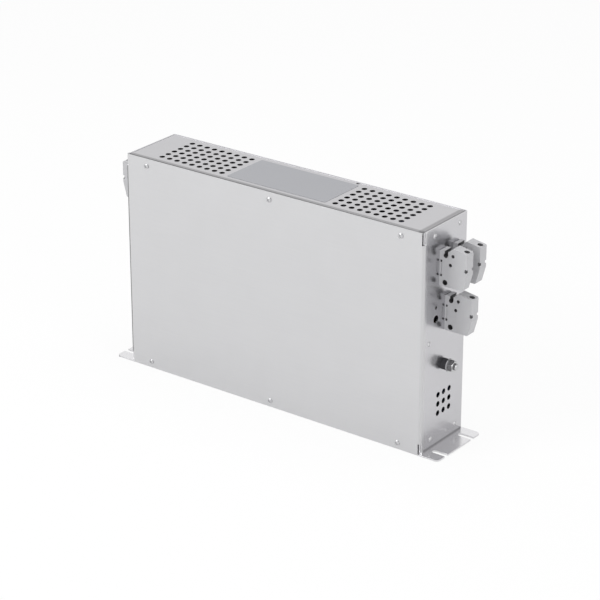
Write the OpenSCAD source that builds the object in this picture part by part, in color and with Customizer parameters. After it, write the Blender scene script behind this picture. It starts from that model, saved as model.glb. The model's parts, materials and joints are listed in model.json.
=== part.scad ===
// Three-phase EMI line filter in a tall, narrow sheet-metal case.
// Origin: centre of the base plate's underside. +X along the case towards the
// load terminals, -Y towards the front cover, +Z up. Millimetres.

/* [Case] */
// Length of the case over the front cover's side lips
case_l = 425; // [410:1:470]
// Depth of the case from front cover to back wall
case_d = 88; // [86:1:100]
// Height of the case
case_h = 270; // [264:1:300]
// Thickness of the folded sheet
sheet_t = 1.5; // [1.2:0.1:2]
// Outside radius of the sheet's bends
bend_r = 3; // [2.4:0.1:4]
// Clearance between nested sheets
sheet_gap = 0.1; // [0.05:0.01:0.2]
// Width of the end walls' inward front flanges
wall_flange_w = 13; // [10:0.5:16]
// Height of the top panel's and base plate's flanges
flange_h = 18; // [16:0.5:22]
// Size of the open corner reliefs in the top panel
corner_relief = 4.5; // [4:0.1:6]

/* [Front cover] */
// Depth of the cover's side lips
lip_d = 6; // [6:0.5:10]
// Height of the relief slot at each end of a lip's bend
relief_h = 14.5; // [10:0.5:17]
// Width of that slot across the bend
relief_w = 3.6; // [3:0.1:4.5]
// Gap from the floor to the cover's lower edge, and from its upper edge to the top
cover_edge_gap = 0.4; // [0.2:0.1:1]
// Distance of the outer cover screws from the case's ends
screw_inset_x = 31.5; // [22:0.1:36]
// Height of the lower cover screws above the floor
screw_low_z = 8; // [7:0.1:10]
// Distance of the upper cover screws below the top
screw_top_inset = 9.5; // [8:0.1:11]

/* [Base plate] */
// Thickness of the base plate
base_t = 2; // [1.5:0.1:3]
// Reach of each fixing ear beyond the case
ear_reach = 24; // [20:0.5:30]
// Width of the open fixing slots, for M6 bolts
slot_w = 6.5; // [5.5:0.1:7]
// Distance between the two slots of an ear
slot_pitch = 53; // [44:0.5:56]
// Distance from the case to a slot's closed end
slot_inset = 5; // [4:0.5:8]
// Radius of the ear's outer corners
ear_corner_r = 5; // [3:0.5:7]

/* [Vents] */
// Diameter of the ventilation holes
vent_d = 6.7; // [5:0.1:7.5]
// Pitch of the holes along the top panel
vent_pitch = 11.2; // [10.5:0.1:12]
// Pitch of the vents' holes across the case
vent_row_pitch = 11.2; // [9.5:0.1:11.5]
// Holes along each field of the top panel
vent_cols = 9; // [5:1:9]
// Holes across each field of the top panel
vent_rows = 6; // [3:1:6]
// Distance of each field's centre from the middle of the case
vent_field_x = 125.5; // [122:0.5:135]
// Offset of the fields towards the back
vent_field_y = 0.5; // [-3:0.5:3]
// Upright pitch of the 3 by 3 holes in each end wall
end_vent_pitch = 11.5; // [9:0.1:12]
// Height of the end vents' middle hole
end_vent_z = 51.5; // [45:0.5:60]
// Offset of the end walls' vents, studs and rivets towards the back
end_y = 3.5; // [0:0.5:4]

/* [Label] */
// Length of the bare label on the top panel
label_l = 140; // [100:1:148]
// Width of the label
label_w = 66; // [50:0.5:76]
// Thickness of the label
label_t = 0.3; // [0.2:0.05:0.5]

/* [Terminals] */
// Width of a terminal housing
terminal_w = 13; // [12.8:0.1:14]
// Height of a terminal housing
terminal_h = 47.5; // [46:0.5:52]
// Reach of a terminal housing from the end wall
terminal_reach = 35.5; // [34.5:0.5:40]
// Offset of the lower terminal towards the back
terminal_y = 8.3; // [6:0.1:10]
// Sideways offset from the lower terminal to each upper one
terminal_step = 13.2; // [12.5:0.1:14]
// Height of the lower terminal's underside
terminal_low_z = 140; // [135:0.5:145]
// Height of the upper terminals' undersides
terminal_top_z = 198.5; // [195:0.5:205]
// Radius of a housing's moulded corners
terminal_corner_r = 1.6; // [0.8:0.1:2]
// Diameter of the wire entry through a clamp, for a 35 mm2 conductor
entry_d = 8.4; // [7:0.1:8.8]
// Width of a clamp body
clamp_w = 10.6; // [10.2:0.1:11]
// Height of a clamp body across the wire
clamp_h = 12; // [11.4:0.1:12.4]
// Length of a clamp body along the wire
clamp_l = 14; // [12:0.5:15]
// Depth of a clamp body along the wire from the housing's underside
clamp_depth = 5; // [4.5:0.5:6]
// Thickness of a clamp body's closed inner end
clamp_back = 3; // [2:0.5:4]
// Lean of the wire outwards from upright, in degrees
wire_lean = 32; // [28:1:34]
// Reach at which the wire crosses the underside
entry_reach = 22.3; // [21.5:0.1:23]
// Diameter of a clamp screw
clamp_screw_d = 6; // [5:0.1:6.2]
// Width of a terminal's conductor bar
bar_w = 6; // [5:0.1:7]
// Thickness of a terminal's conductor bar
bar_t = 4; // [3:0.1:4.5]
// Reach of the conductor bar inside the end wall
bar_inner_l = 32; // [26:0.5:36]
// Width of the housing's neck through the end wall
neck_w = 10; // [9:0.1:11]
// Height of the neck
neck_h = 28; // [24:0.5:30]
// Length of the locking piece behind the end wall
lock_l = 8; // [6:0.5:10]
// Clearance of the moulded and clamped fits
fit_gap = 0.1; // [0.05:0.01:0.2]

/* [Earth studs] */
// Diameter of the M8 earth studs
stud_d = 8; // [6:0.5:8]
// Height of the studs above the floor
stud_z = 97.5; // [94:0.5:110]
// Free length of a stud beyond its outer nut
stud_free_l = 3; // [3:0.5:10]
// Width across the flats of the nuts and the stud's head
nut_af = 13; // [12:0.5:14]
// Thickness of a nut
nut_t = 6.5; // [5:0.1:7]
// Diameter of the washer under the outer nut
washer_d = 16; // [15:0.5:18]
// Thickness of that washer
washer_t = 1.6; // [1:0.1:2]

/* [Fixings] */
// Diameter of a cover screw's head
screw_head_d = 6.4; // [5.8:0.1:8]
// Height of a cover screw's head
screw_head_h = 1.9; // [1.6:0.1:2.6]
// Diameter of a cover screw's thread
screw_d = 4; // [3:0.1:4]
// Length of a cover screw below its head
screw_l = 8; // [6:0.5:10]
// Diameter of a rivet's head
rivet_head_d = 6.5; // [5:0.1:7]
// Height of a rivet's domed head
rivet_head_h = 1.4; // [0.8:0.1:1.8]
// Diameter of a rivet's body
rivet_d = 3.2; // [3:0.1:4]
// Distance of the end rivets to either side of the stud
rivet_y = 25; // [22:0.5:26]
// Height of the lower rivets above the floor
rivet_low_z = 12.5; // [11:0.5:15]
// Distance of the upper rivets below the top
rivet_top_inset = 10; // [9:0.5:12]

/* [Inside] */
// Outside diameter of a ring core
core_d = 80; // [76:0.5:81]
// Inside diameter of a ring core
core_bore_d = 54; // [53:0.5:58]
// Length of a ring core
core_l = 30; // [20:0.5:36]
// Distance between neighbouring cores
core_pitch = 100; // [90:1:104]
// Height of the cores' common axis
core_z = 186; // [182:0.5:190]
// Length of a film capacitor
capacitor_l = 60; // [50:1:66]
// Width of a film capacitor
capacitor_w = 34; // [28:0.5:40]
// Height of a film capacitor
capacitor_h = 52; // [40:0.5:60]
// Diameter of an earth capacitor
can_d = 18; // [14:0.5:20]
// Height of an earth capacitor
can_h = 34; // [24:0.5:40]

/* [Hidden] */
$fn = 48;
small_fn = 24;
eps = 0.01;
SIDES = [1, -1];

// Planes of the nested sheets
end_x = case_l / 2;                               // cover lip, outer face
wall_x = end_x - sheet_t - sheet_gap;             // end wall, outer face
inner_x = wall_x - sheet_t;                       // end wall, inner face
front_y = -case_d / 2;                            // cover, outer face
frame_y = front_y + sheet_t + sheet_gap;          // flanges behind the cover
back_y = case_d / 2;                              // back wall, outer face
inner_back_y = back_y - sheet_t;                  // back wall, inner face
tray_x = inner_x - sheet_gap;                     // top panel's end flanges, outer face
tray_back_y = inner_back_y - sheet_gap;           // back flanges, outer face
inner_r = bend_r - sheet_t;
ear_x = end_x - relief_w + sheet_gap;             // where the base plate takes its full depth

SCREW_XS = [-end_x + screw_inset_x, 0, end_x - screw_inset_x];
SCREW_ZS = [screw_low_z, case_h - screw_top_inset];
SCREWS = [for (z = SCREW_ZS) for (x = SCREW_XS) [x, z]];
screw_hole_d = screw_d + 0.1;

top_rivet_z = case_h - rivet_top_inset;
RIVETS = [
    for (y = [end_y - rivet_y, end_y + rivet_y]) for (z = [rivet_low_z, top_rivet_z]) [y, z],
    [front_y + lip_d + 9, case_h / 2 - 2]
];
rivet_hole_d = rivet_d + 0.1;
angle_leg = 20;                                   // legs of the foot angles
spare_y = -16;                                    // openings for a fourth pole

// Terminals: [side, y, z of the underside]
TERMINALS = [
    for (s = SIDES) for (p = [[-1, terminal_top_z], [1, terminal_top_z], [0, terminal_low_z]])
        [s, terminal_y + p[0] * terminal_step, p[1]]
];

// Terminal profile: x is the reach from the wall, y the height above the underside
taper = [5, 18.5];                                // fall-back and height of the nose's tapered foot
top_drop = 3;                                     // fall of the top from its peak to the nose
peak_x = 17.5;                                    // peak of the top
step_x = 12;                                      // shoulder behind the marker groove
step_drop = 5;                                    // fall from the peak to the shoulder
terminal_outline = [
    [0, 0], [terminal_reach - taper[0], 0], [terminal_reach, taper[1]],
    [terminal_reach, terminal_h - top_drop], [peak_x, terminal_h],
    [step_x, terminal_h - step_drop], [0, terminal_h - step_drop]
];
// Dimples of the side faces: [reach, height, diameter, depth]
DIMPLES = [
    [7.8, 37, 5.4, 4.5], [17.3, 38.2, 4, 4], [14.3, 27, 4, 4],
    [7.7, 5, 6.4, 4.8], [2.2, 30, 3, 2], [2.2, 13, 3, 2]
];
nose_slot = [terminal_reach - 1.2, 24.5, 3, 4.5, 2.5]; // reach, height, width, length, depth

// The wire comes in from below, leaning outwards
function up_wire(d) = [entry_reach, 0] + d * [-sin(wire_lean), cos(wire_lean)];
clamp_centre = up_wire(clamp_depth + clamp_l / 2);
driver_mouth = [terminal_reach - 4, terminal_h - 2]; // where the driver's channel comes out
driver_angle = atan2(driver_mouth[1] - clamp_centre[1], driver_mouth[0] - clamp_centre[0]);
driver_l = norm(driver_mouth - clamp_centre) + 3;
lean = driver_angle - wire_lean;                  // of the screw from square to the wire
screw_seat = (clamp_h / 2) / cos(lean) + (clamp_screw_d / 2) * tan(abs(lean)) + fit_gap;
shank_d = clamp_screw_d - 1.4;
shank_tip = (entry_d / 2) / cos(lean) + (shank_d / 2) * tan(abs(lean)) + fit_gap;
clamp_screw_l = 12;
bar_end = up_wire(clamp_depth + clamp_l + clamp_back / 2);
bar_z = bar_end[1] - bar_t / 2;
neck_z = bar_z + bar_t / 2 - neck_h / 2 + 4;
neck_reach = sheet_t + lock_l + 2;

// Earth studs, counted from the end wall's outer face
stud_reach = 2 * nut_t + washer_t + stud_free_l;
head_t = 5.3;
stud_hole_d = stud_d + 0.3;
stud_core_d = stud_d - 0.6;                       // where the nuts engage: the thread's pitch diameter
bar_hole_d = 6.4;

// Inside
pad_t = 3;                                        // capacitor tray's floor
pad_z = base_t + 5;                               // underside of that floor
pad_top = pad_z + pad_t;
pad_l = case_l - 2 * (angle_leg + sheet_t + 30);
pad_w = case_d - 24;
rail_d = 14;                                      // depth of the core rail
run_rise = 6;                                     // bars above and below the cores' axis
core_y = tray_back_y - core_d / 2 - 0.5;
CORE_XS = [-core_pitch, 0, core_pitch];
CAPACITOR_XS = [-1.1, 0, 1.1] * core_pitch;
tab_x = inner_x - bar_inner_l;                    // inner end of the terminal bars
tab_l = 14;                                       // overlap of a busbar on a terminal bar
// Busbars: [y, z of the terminal bars' underside, z of the run, x of the drop]
BUSBARS = [
    [TERMINALS[0][1], TERMINALS[0][2] + bar_z, core_z + run_rise, -core_pitch / 2],
    [TERMINALS[2][1], TERMINALS[2][2] + bar_z, core_z - run_rise - bar_t, -core_pitch / 2 - 12],
    [TERMINALS[1][1], TERMINALS[1][2] + bar_z, core_z + run_rise, core_pitch / 2]
];
drop_t = 3;

function side_name(s) = s > 0 ? "load" : "line";
function count_to(n) = [for (i = [1:n]) i];

// ---------------------------------------------------------------- helpers

// Points of an outline whose corners are rounded to radius r in n steps
function unit(v) = v / norm(v);
function corner_arc(a, b, c, r, n) =
    let (u = unit(a - b), w = unit(c - b), half = acos(max(-1, min(1, u * w))) / 2,
         centre = b + unit(u + w) * r / sin(half),
         p0 = b + u * r / tan(half), p1 = b + w * r / tan(half),
         a0 = atan2(p0[1] - centre[1], p0[0] - centre[0]),
         turn = atan2(p1[1] - centre[1], p1[0] - centre[0]) - a0,
         sweep = turn > 180 ? turn - 360 : turn < -180 ? turn + 360 : turn)
    [for (i = [0:n]) centre + r * [cos(a0 + sweep * i / n), sin(a0 + sweep * i / n)]];
function rounded(points, r, n = 4) =
    let (k = len(points))
    [for (i = [0:k - 1]) each corner_arc(points[(i + k - 1) % k], points[i], points[(i + 1) % k], r, n)];

// Rectangle between two opposite corners, its corners rounded to radius r
module round_rect(low, high, r) {
    translate(low + [r, 0]) square([high[0] - low[0] - 2 * r, high[1] - low[1]]);
    translate(low + [0, r]) square([high[0] - low[0], high[1] - low[1] - 2 * r]);
    for (x = [low[0] + r, high[0] - r]) for (y = [low[1] + r, high[1] - r])
        translate([x, y]) circle(r);
}

// Box between two opposite corners
module box(low, high) {
    translate(low) cube(high - low);
}

// Turns what is drawn along +Z so that it points out of the end wall on side s
module out_of_wall(s, y, z, x = wall_x) {
    translate([s * x, y, z]) rotate([0, s * 90, 0]) children();
}

// Places a terminal: local x is the reach from its wall, z the height
module at_terminal(i) {
    t = TERMINALS[i];
    translate([t[0] * wall_x, t[1], t[2]]) mirror([t[0] > 0 ? 0 : 1, 0, 0]) children();
}

// Draws children along the wire's axis, +Z pointing out of the underside
module along_wire() {
    translate([entry_reach, 0, 0]) rotate([0, 180 - wire_lean, 0]) children();
}

// Draws children along the driver's channel, +Z pointing out of its mouth
module along_driver() {
    translate([clamp_centre[0], 0, clamp_centre[1]]) rotate([0, 90 - driver_angle, 0]) children();
}

// Extrudes a reach-height outline to the width w, centred on y
module side_extrude(w) {
    translate([0, w / 2, 0]) rotate([90, 0, 0]) linear_extrude(w) children();
}

// Field of round holes through a horizontal sheet, as solids to subtract
module hole_field(cols, rows, pitch, h) {
    for (i = [0:cols - 1]) for (j = [0:rows - 1])
        translate([(i - (cols - 1) / 2) * pitch, (j - (rows - 1) / 2) * vent_row_pitch, -h / 2])
            cylinder(h = h, d = vent_d, $fn = small_fn);
}

// ---------------------------------------------------------------- case

// Half of the base plate's plan beyond the middle: body, ear and open slots
module ear_plan() {
    tip_x = end_x + ear_reach;
    difference() {
        union() {
            translate([ear_x, front_y]) square([tip_x - ear_corner_r - ear_x, case_d]);
            translate([ear_x, front_y + ear_corner_r])
                square([tip_x - ear_x, case_d - 2 * ear_corner_r]);
            for (y = [front_y + ear_corner_r, back_y - ear_corner_r])
                translate([tip_x - ear_corner_r, y]) circle(ear_corner_r);
        }
        for (y = [-slot_pitch / 2, slot_pitch / 2]) translate([end_x + slot_inset, y]) {
            translate([slot_w / 2, 0]) circle(d = slot_w);
            translate([slot_w / 2, -slot_w / 2]) square([ear_reach, slot_w]);
        }
    }
}

module base_plate() {
    flange_l = 2 * (inner_x - sheet_gap - bend_r);
    color("silver") difference() {
        union() {
            linear_extrude(base_t) {
                translate([-ear_x - eps, frame_y + bend_r])
                    square([2 * (ear_x + eps), tray_back_y - frame_y - 2 * bend_r]);
                for (s = SIDES) mirror([s > 0 ? 0 : 1, 0]) ear_plan();
            }
            translate([-flange_l / 2, 0, 0]) rotate([90, 0, 90]) linear_extrude(flange_l)
                difference() {
                    round_rect([frame_y, 0], [tray_back_y, flange_h + 2 * bend_r], bend_r);
                    translate([frame_y - 1, flange_h]) square([case_d, 3 * bend_r]);
                    round_rect([frame_y + sheet_t, base_t],
                               [tray_back_y - sheet_t, flange_h + 3 * bend_r], inner_r);
                }
        }
        for (x = SCREW_XS) translate([x, frame_y - 1, screw_low_z]) rotate([-90, 0, 0])
            cylinder(h = sheet_t + 2, d = screw_hole_d, $fn = small_fn);
    }
}

// Holes of an end wall: terminal necks, earth stud, vents, rivets, spare pole
module end_wall_holes(s) {
    for (t = TERMINALS) if (t[0] == s)
        box([min(s * (wall_x + 1), s * (inner_x - 1)), t[1] - neck_w / 2 - fit_gap, t[2] + neck_z - fit_gap],
            [max(s * (wall_x + 1), s * (inner_x - 1)), t[1] + neck_w / 2 + fit_gap,
             t[2] + neck_z + neck_h + fit_gap]);
    out_of_wall(s, end_y, stud_z) translate([0, 0, -sheet_t - 1])
        cylinder(h = sheet_t + 2, d = stud_hole_d, $fn = small_fn);
    out_of_wall(s, end_y, end_vent_z) hole_field(3, 3, end_vent_pitch, 2 * sheet_t + 2);
    for (r = RIVETS) out_of_wall(s, r[0], r[1]) translate([0, 0, -sheet_t - 1])
        cylinder(h = sheet_t + 2, d = rivet_hole_d, $fn = small_fn);
    // Openings left for a fourth pole: its wire hole and its peg hole
    for (h = [[terminal_low_z + 19, 9], [terminal_low_z + 32.5, 4]])
        out_of_wall(s, spare_y, h[0]) translate([0, 0, -sheet_t - 1])
            cylinder(h = sheet_t + 2, d = h[1], $fn = small_fn);
}

// Back wall and both end walls, folded from one sheet
module case_shell() {
    wall_top = case_h - cover_edge_gap;
    color("gainsboro") difference() {
        translate([0, 0, base_t]) linear_extrude(wall_top - base_t) difference() {
            round_rect([-wall_x, frame_y], [wall_x, back_y], bend_r);
            round_rect([-inner_x, frame_y + sheet_t], [inner_x, inner_back_y], inner_r);
            translate([wall_flange_w - wall_x, frame_y - 1])
                square([2 * (wall_x - wall_flange_w), 2 * sheet_t + 1]);
        }
        // The front flanges stop short of the base plate's and top panel's flanges
        for (z = [[0, flange_h + sheet_gap], [case_h - flange_h - sheet_gap, case_h + 1]])
            box([-inner_x, frame_y - 1, z[0]], [inner_x, frame_y + bend_r + 1, z[1]]);
        for (s = SIDES) end_wall_holes(s);
    }
}

// Tray-shaped solid with its upper edges rounded to r and its upright ones to inner_r
module tray_solid(hx, y0, y1, z0, z1, r) {
    intersection() {
        translate([0, 0, z0]) linear_extrude(z1 - z0) round_rect([-hx, y0], [hx, y1], inner_r);
        translate([-hx, 0, 0]) rotate([90, 0, 90]) linear_extrude(2 * hx) difference() {
            round_rect([y0, z0 - 2 * r], [y1, z1], r);
            translate([y0 - 1, z0 - 3 * r]) square([y1 - y0 + 2, 3 * r]);
        }
        translate([0, y1, 0]) rotate([90, 0, 0]) linear_extrude(y1 - y0)
            round_rect([-hx, z0 - 2 * r], [hx, z1], r);
    }
}

module top_panel() {
    z0 = case_h - flange_h;
    color("lightgray") difference() {
        tray_solid(tray_x, frame_y, tray_back_y, z0, case_h, bend_r);
        tray_solid(tray_x - sheet_t, frame_y + sheet_t, tray_back_y - sheet_t,
                   z0 - 1, case_h - sheet_t, inner_r);
        for (x = [-tray_x - 1, tray_x + 1 - corner_relief - 1])
            for (y = [frame_y - 1, tray_back_y - corner_relief])
                box([x, y, z0 - 1], [x + corner_relief + 1, y + corner_relief + 1, case_h - bend_r]);
        for (x = [-vent_field_x, vent_field_x]) translate([x, vent_field_y, case_h])
            hole_field(vent_cols, vent_rows, vent_pitch, 2 * sheet_t + 2);
        translate([label_l / 2 - 5, label_w / 2 + 5, case_h - sheet_t - 1])
            cylinder(h = sheet_t + 2, d = 4, $fn = small_fn);
        for (x = SCREW_XS) translate([x, frame_y - 1, SCREW_ZS[1]]) rotate([-90, 0, 0])
            cylinder(h = sheet_t + 2, d = screw_hole_d, $fn = small_fn);
        for (s = SIDES) for (y = [end_y - rivet_y, end_y + rivet_y])
            out_of_wall(s, y, top_rivet_z, tray_x) translate([0, 0, -sheet_t - 1])
                cylinder(h = sheet_t + 2, d = rivet_hole_d, $fn = small_fn);
    }
}

module front_cover() {
    top = case_h - cover_edge_gap;
    color("whitesmoke") difference() {
        translate([0, 0, cover_edge_gap]) linear_extrude(top - cover_edge_gap) difference() {
            round_rect([-end_x, front_y], [end_x, front_y + lip_d + 2 * bend_r], bend_r);
            round_rect([-end_x + sheet_t, front_y + sheet_t],
                       [end_x - sheet_t, front_y + lip_d + 3 * bend_r], inner_r);
            translate([-end_x - 1, front_y + lip_d]) square([case_l + 2, 3 * bend_r]);
        }
        for (s = SIDES) {
            x = [min(s * (end_x - relief_w), s * (end_x + 1)), max(s * (end_x - relief_w), s * (end_x + 1))];
            // Slots across the bend, top and bottom
            for (z = [[0, relief_h], [case_h - relief_h, case_h]])
                box([x[0], front_y - 1, z[0]], [x[1], front_y + bend_r, z[1]]);
            // The lips stand on the base plate's ears
            box([x[0], front_y - 1, 0], [x[1], front_y + lip_d + 1, base_t + sheet_gap]);
        }
        for (p = SCREWS) translate([p[0], front_y - 1, p[1]]) rotate([-90, 0, 0])
            cylinder(h = sheet_t + 2, d = screw_d + 0.5, $fn = small_fn);
    }
}

module rating_label() {
    color("darkgray") translate([0, 0, case_h]) linear_extrude(label_t)
        round_rect([-label_l / 2, vent_field_y - label_w / 2], [label_l / 2, vent_field_y + label_w / 2], 2);
}

// L-section at the foot of an end wall
module foot_angle(s) {
    leg_l = 2 * (rivet_y + 8);
    x = inner_x;
    color("silver") mirror([s > 0 ? 0 : 1, 0, 0]) difference() {
        union() {
            box([x - sheet_t, end_y - leg_l / 2, base_t], [x, end_y + leg_l / 2, base_t + angle_leg]);
            box([x - angle_leg, end_y - leg_l / 2, base_t], [x, end_y + leg_l / 2, base_t + sheet_t]);
        }
        for (y = [end_y - rivet_y, end_y + rivet_y]) translate([x - sheet_t - 1, y, rivet_low_z]) rotate([0, 90, 0])
            cylinder(h = sheet_t + 2, d = rivet_hole_d, $fn = small_fn);
    }
}

// ---------------------------------------------------------------- fixings

// Pan-head screw with a cross recess, drawn at [0, 0, 0] along +Y, head at -Y
module cover_screw(i) {
    dome_r = screw_head_d;
    recess = 0.8;
    color("silver") translate([SCREWS[i][0], front_y, SCREWS[i][1]]) rotate([90, 0, 0]) difference() {
        union() {
            intersection() {
                cylinder(h = screw_head_h, d = screw_head_d, $fn = small_fn);
                translate([0, 0, screw_head_h - dome_r]) sphere(dome_r, $fn = small_fn);
            }
            translate([0, 0, -screw_l]) cylinder(h = screw_l + eps, d = screw_d, $fn = small_fn);
        }
        for (a = [45, 135]) rotate([0, 0, a])
            box([-screw_head_d / 3.4, -recess / 2, screw_head_h - 1], [screw_head_d / 3.4, recess / 2, screw_head_h + 1]);
    }
}

// Domed blind rivet, head outwards along +Z, seated at z = 0 on a stack of sheets
module rivet(stack) {
    r = rivet_head_d / 2;
    dome_r = (r * r + rivet_head_h * rivet_head_h) / (2 * rivet_head_h);
    intersection() {
        cylinder(h = rivet_head_h, r = r, $fn = small_fn);
        translate([0, 0, rivet_head_h - dome_r]) sphere(dome_r, $fn = $fn);
    }
    translate([0, 0, -stack - 1.5]) cylinder(h = stack + 1.5 + eps, d = rivet_d, $fn = small_fn);
    translate([0, 0, -stack - 1.5]) cylinder(h = 1.5, d = rivet_d + 1.6, $fn = small_fn);
}

module end_rivets(s) {
    color("whitesmoke") for (r = RIVETS)
        out_of_wall(s, r[0], r[1])
            rivet(r[1] == top_rivet_z ? 2 * sheet_t + sheet_gap : r[1] == rivet_low_z ? 2 * sheet_t : sheet_t);
}

// ---------------------------------------------------------------- earth studs

module hexagon(af) {
    circle(d = af / cos(30), $fn = 6);
}

module earth_stud(s) {
    chamfer = 1;
    r = stud_d / 2;
    free = stud_free_l - chamfer;
    color("silver") out_of_wall(s, end_y, stud_z) {
        translate([0, 0, -sheet_t - head_t]) linear_extrude(head_t) hexagon(nut_af);
        translate([0, 0, -sheet_t - eps]) cylinder(h = sheet_t + stud_reach - chamfer, d = stud_core_d);
        translate([0, 0, stud_reach - stud_free_l]) cylinder(h = free, r = r);
        translate([0, 0, stud_reach - chamfer]) cylinder(h = chamfer, r1 = r, r2 = r - chamfer * 0.8);
    }
}

// Hexagon nut with chamfered corners, standing on z = 0
module nut_body(bore_d) {
    difference() {
        intersection() {
            linear_extrude(nut_t) hexagon(nut_af);
            union() {
                cylinder(h = nut_t - 1, d = nut_af / cos(30) + eps);
                translate([0, 0, nut_t - 1]) cylinder(h = 1, d1 = nut_af / cos(30) + eps, d2 = nut_af * 0.94);
            }
        }
        translate([0, 0, -1]) cylinder(h = nut_t + 2, d = bore_d);
    }
}

module inner_nut(s) {
    color("dimgray") out_of_wall(s, end_y, stud_z) nut_body(stud_core_d + 2 * fit_gap);
}

// Outer nut with its captive washer
module outer_nut(s) {
    color("silver") out_of_wall(s, end_y, stud_z) translate([0, 0, nut_t]) {
        difference() {
            cylinder(h = washer_t, d = washer_d);
            translate([0, 0, -1]) cylinder(h = washer_t + 2, d = stud_core_d + 2 * fit_gap);
        }
        translate([0, 0, washer_t]) nut_body(stud_core_d + 2 * fit_gap);
    }
}

// ---------------------------------------------------------------- terminals

// Moulded housing: outer block, neck through the wall, clamp pocket, channels
module terminal_housing(i) {
    groove = 4.5;
    groove_d = 5.5;
    slot_d = 13;
    color("darkgray") at_terminal(i) difference() {
        union() {
            side_extrude(terminal_w) polygon(rounded(terminal_outline, terminal_corner_r));
            box([-neck_reach, -neck_w / 2, neck_z], [terminal_corner_r + 1, neck_w / 2, neck_z + neck_h]);
        }
        // Marker groove across the shoulder, and the slot below it
        box([step_x - groove - 1, -terminal_w, terminal_h - step_drop - groove_d],
            [step_x - 1, terminal_w, terminal_h]);
        box([step_x - groove - 1, -neck_w / 2 + 1, terminal_h - step_drop - slot_d],
            [step_x - 1, neck_w / 2 - 1, terminal_h]);
        for (m = [0, 1]) mirror([0, m, 0]) {
            for (d = DIMPLES) translate([d[0], terminal_w / 2 - d[3], d[1]]) rotate([-90, 0, 0])
                cylinder(h = d[3] + 1, d = d[2], $fn = small_fn);
            translate([nose_slot[0], terminal_w / 2 - nose_slot[4], nose_slot[1]]) {
                box([-nose_slot[2] / 2, 0, -nose_slot[3] / 2 + nose_slot[2] / 2],
                    [nose_slot[2] / 2, 9, nose_slot[3] / 2 - nose_slot[2] / 2]);
                for (z = [-1, 1]) translate([0, 0, z * (nose_slot[3] - nose_slot[2]) / 2]) rotate([-90, 0, 0])
                    cylinder(h = 9, d = nose_slot[2], $fn = small_fn);
            }
            // Latch groove beside the wall
            box([2.4, terminal_w / 2 - 0.6, 15], [3.6, terminal_w, 27]);
        }
        // Clamp pocket, driver channel and bar slot
        along_wire() box([-clamp_h / 2 - fit_gap, -clamp_w / 2 - fit_gap, -clamp_depth - clamp_l - clamp_back - fit_gap],
                         [clamp_h / 2 + fit_gap, clamp_w / 2 + fit_gap, 5]);
        along_driver() cylinder(h = driver_l, r = clamp_screw_d / 2 + 2 * fit_gap);
        box([-neck_reach - 1, -bar_w / 2 - fit_gap, bar_z - fit_gap],
            [bar_end[0], bar_w / 2 + fit_gap, bar_z + bar_t + fit_gap]);
    }
}

// Clamp body and the bar that carries the current through the wall
module terminal_conductor(i) {
    color("goldenrod") at_terminal(i) difference() {
        union() {
            along_wire() box([-clamp_h / 2, -clamp_w / 2, -clamp_depth - clamp_l - clamp_back],
                             [clamp_h / 2, clamp_w / 2, -clamp_depth]);
            box([-sheet_t - bar_inner_l, -bar_w / 2, bar_z], [bar_end[0], bar_w / 2, bar_z + bar_t]);
        }
        along_wire() translate([0, 0, -clamp_depth - clamp_l]) cylinder(h = clamp_l + 1, d = entry_d);
        along_driver() cylinder(h = clamp_h, d = shank_d + 2 * fit_gap, $fn = small_fn);
        translate([-sheet_t - bar_inner_l + tab_l / 2, 0, bar_z - 1])
            cylinder(h = bar_t + 2, d = bar_hole_d - 2, $fn = small_fn);
    }
}

// Clamp screw with a hexagon socket, backed off clear of the wire entry
module terminal_clamp_screw(i) {
    color("silver") at_terminal(i) along_driver() difference() {
        union() {
            translate([0, 0, shank_tip]) cylinder(h = screw_seat - shank_tip + 1, d = shank_d, $fn = small_fn);
            translate([0, 0, screw_seat]) cylinder(h = clamp_screw_l, d = clamp_screw_d, $fn = small_fn);
        }
        translate([0, 0, screw_seat + clamp_screw_l - 4]) linear_extrude(5) hexagon(3);
    }
}

// Locking piece that slides over the neck behind the end wall
module terminal_lock(i) {
    rim = 2.5;
    color("gray") at_terminal(i) difference() {
        box([-sheet_t - lock_l, -neck_w / 2 - rim, neck_z - 2 * rim],
            [-sheet_t, neck_w / 2 + rim, neck_z + neck_h + 2 * rim]);
        box([-sheet_t - lock_l - 1, -neck_w / 2 - fit_gap, neck_z - fit_gap],
            [1, neck_w / 2 + fit_gap, neck_z + neck_h + fit_gap]);
    }
}

// ---------------------------------------------------------------- inside

// Phase bar: tab and riser at each end, run through the cores, drop to the tray
module busbar(i) {
    b = BUSBARS[i];
    y0 = b[0] - bar_w / 2;
    y1 = b[0] + bar_w / 2;
    tab_z = b[1] + bar_t;
    riser_x = tab_x - 6;
    low = min(b[2], tab_z);
    high = max(b[2], tab_z) + bar_t;
    color("chocolate") {
        box([-riser_x, y0, b[2]], [riser_x, y1, b[2] + bar_t]);
        for (s = SIDES) mirror([s > 0 ? 0 : 1, 0, 0]) {
            box([riser_x - bar_t, y0, low], [riser_x, y1, high]);
            box([riser_x - bar_t, y0, tab_z], [tab_x + tab_l, y1, tab_z + bar_t]);
        }
        box([b[3] - drop_t / 2, y0, pad_top], [b[3] + drop_t / 2, y1, b[2] + eps]);
    }
}

module choke_core(i) {
    edge = 2;
    color("midnightblue") translate([CORE_XS[i] - core_l / 2, core_y, core_z]) rotate([0, 90, 0])
        rotate_extrude() round_rect([core_bore_d / 2, 0], [core_d / 2, core_l], edge);
}

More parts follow.
